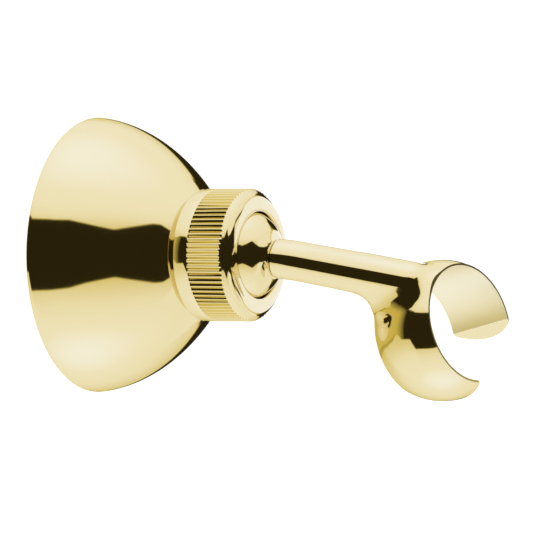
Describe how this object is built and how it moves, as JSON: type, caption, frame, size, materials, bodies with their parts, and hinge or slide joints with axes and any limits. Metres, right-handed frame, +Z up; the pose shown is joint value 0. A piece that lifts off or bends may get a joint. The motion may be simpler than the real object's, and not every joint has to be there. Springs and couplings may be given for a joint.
{
  "type": "hand shower holder",
  "caption": "Wall-mounted hand shower holder: a bell-shaped rose, a knurled nut that clamps a ball joint, and a drooping arm that ends in an open fork bored for the handset.",
  "frame": {"origin": "centre of the rose's rim on the wall, midway between the plate's two screw holes", "axes": "+X leaves the wall along the rose's axis, +Z is up with the screw holes one above the other, and the part is symmetric about the XZ plane"},
  "size_m": [0.0834, 0.0574, 0.0617],
  "materials": {
    "polished_gold": "polished, gold plated",
    "fixing_steel": "plain stainless",
    "seat_plastic": "natural acetal"
  },
  "bodies": {
    "wall_side": {"wall_plate": "fixing_steel", "wall_rose": "polished_gold", "rose_screw": "fixing_steel", "lock_washer": "fixing_steel"},
    "rear_seat": {"rear_seat": "seat_plastic"},
    "joint_ball": {"joint_ball": "polished_gold"},
    "holder_arm": {"holder_arm": "polished_gold"},
    "slip_ring": {"slip_ring": "seat_plastic"},
    "clamp_nut": {"clamp_nut": "polished_gold"}
  },
  "joints": [
    {"name": "arm_swivel", "type": "hinge", "parent": "wall_side", "child": "rear_seat", "pos_m": [0.033, 0, 0], "axis": [1, 0, 0], "continuous": true},
    {"name": "arm_tilt", "type": "hinge", "parent": "rear_seat", "child": "joint_ball", "pos_m": [0.033, 0, 0], "axis": [0, 1, 0], "range_deg": [-32, 20]},
    {"name": "arm_spin", "type": "hinge", "parent": "joint_ball", "child": "holder_arm", "pos_m": [0.033, 0, 0], "axis": [0.9945, 0, -0.1045], "continuous": true},
    {"name": "ring_travel", "type": "slide", "parent": "wall_side", "child": "slip_ring", "axis": [1, 0, 0], "range_m": [0, 0.001]},
    {"name": "nut_turn", "type": "hinge", "parent": "slip_ring", "child": "clamp_nut", "pos_m": [0.033, 0, 0], "axis": [1, 0, 0], "range_deg": [0, 360]}
  ],
  "couplings": [
    {"joint": "ring_travel", "follows": "nut_turn", "m_per_rad": 0.00015915}
  ]
}
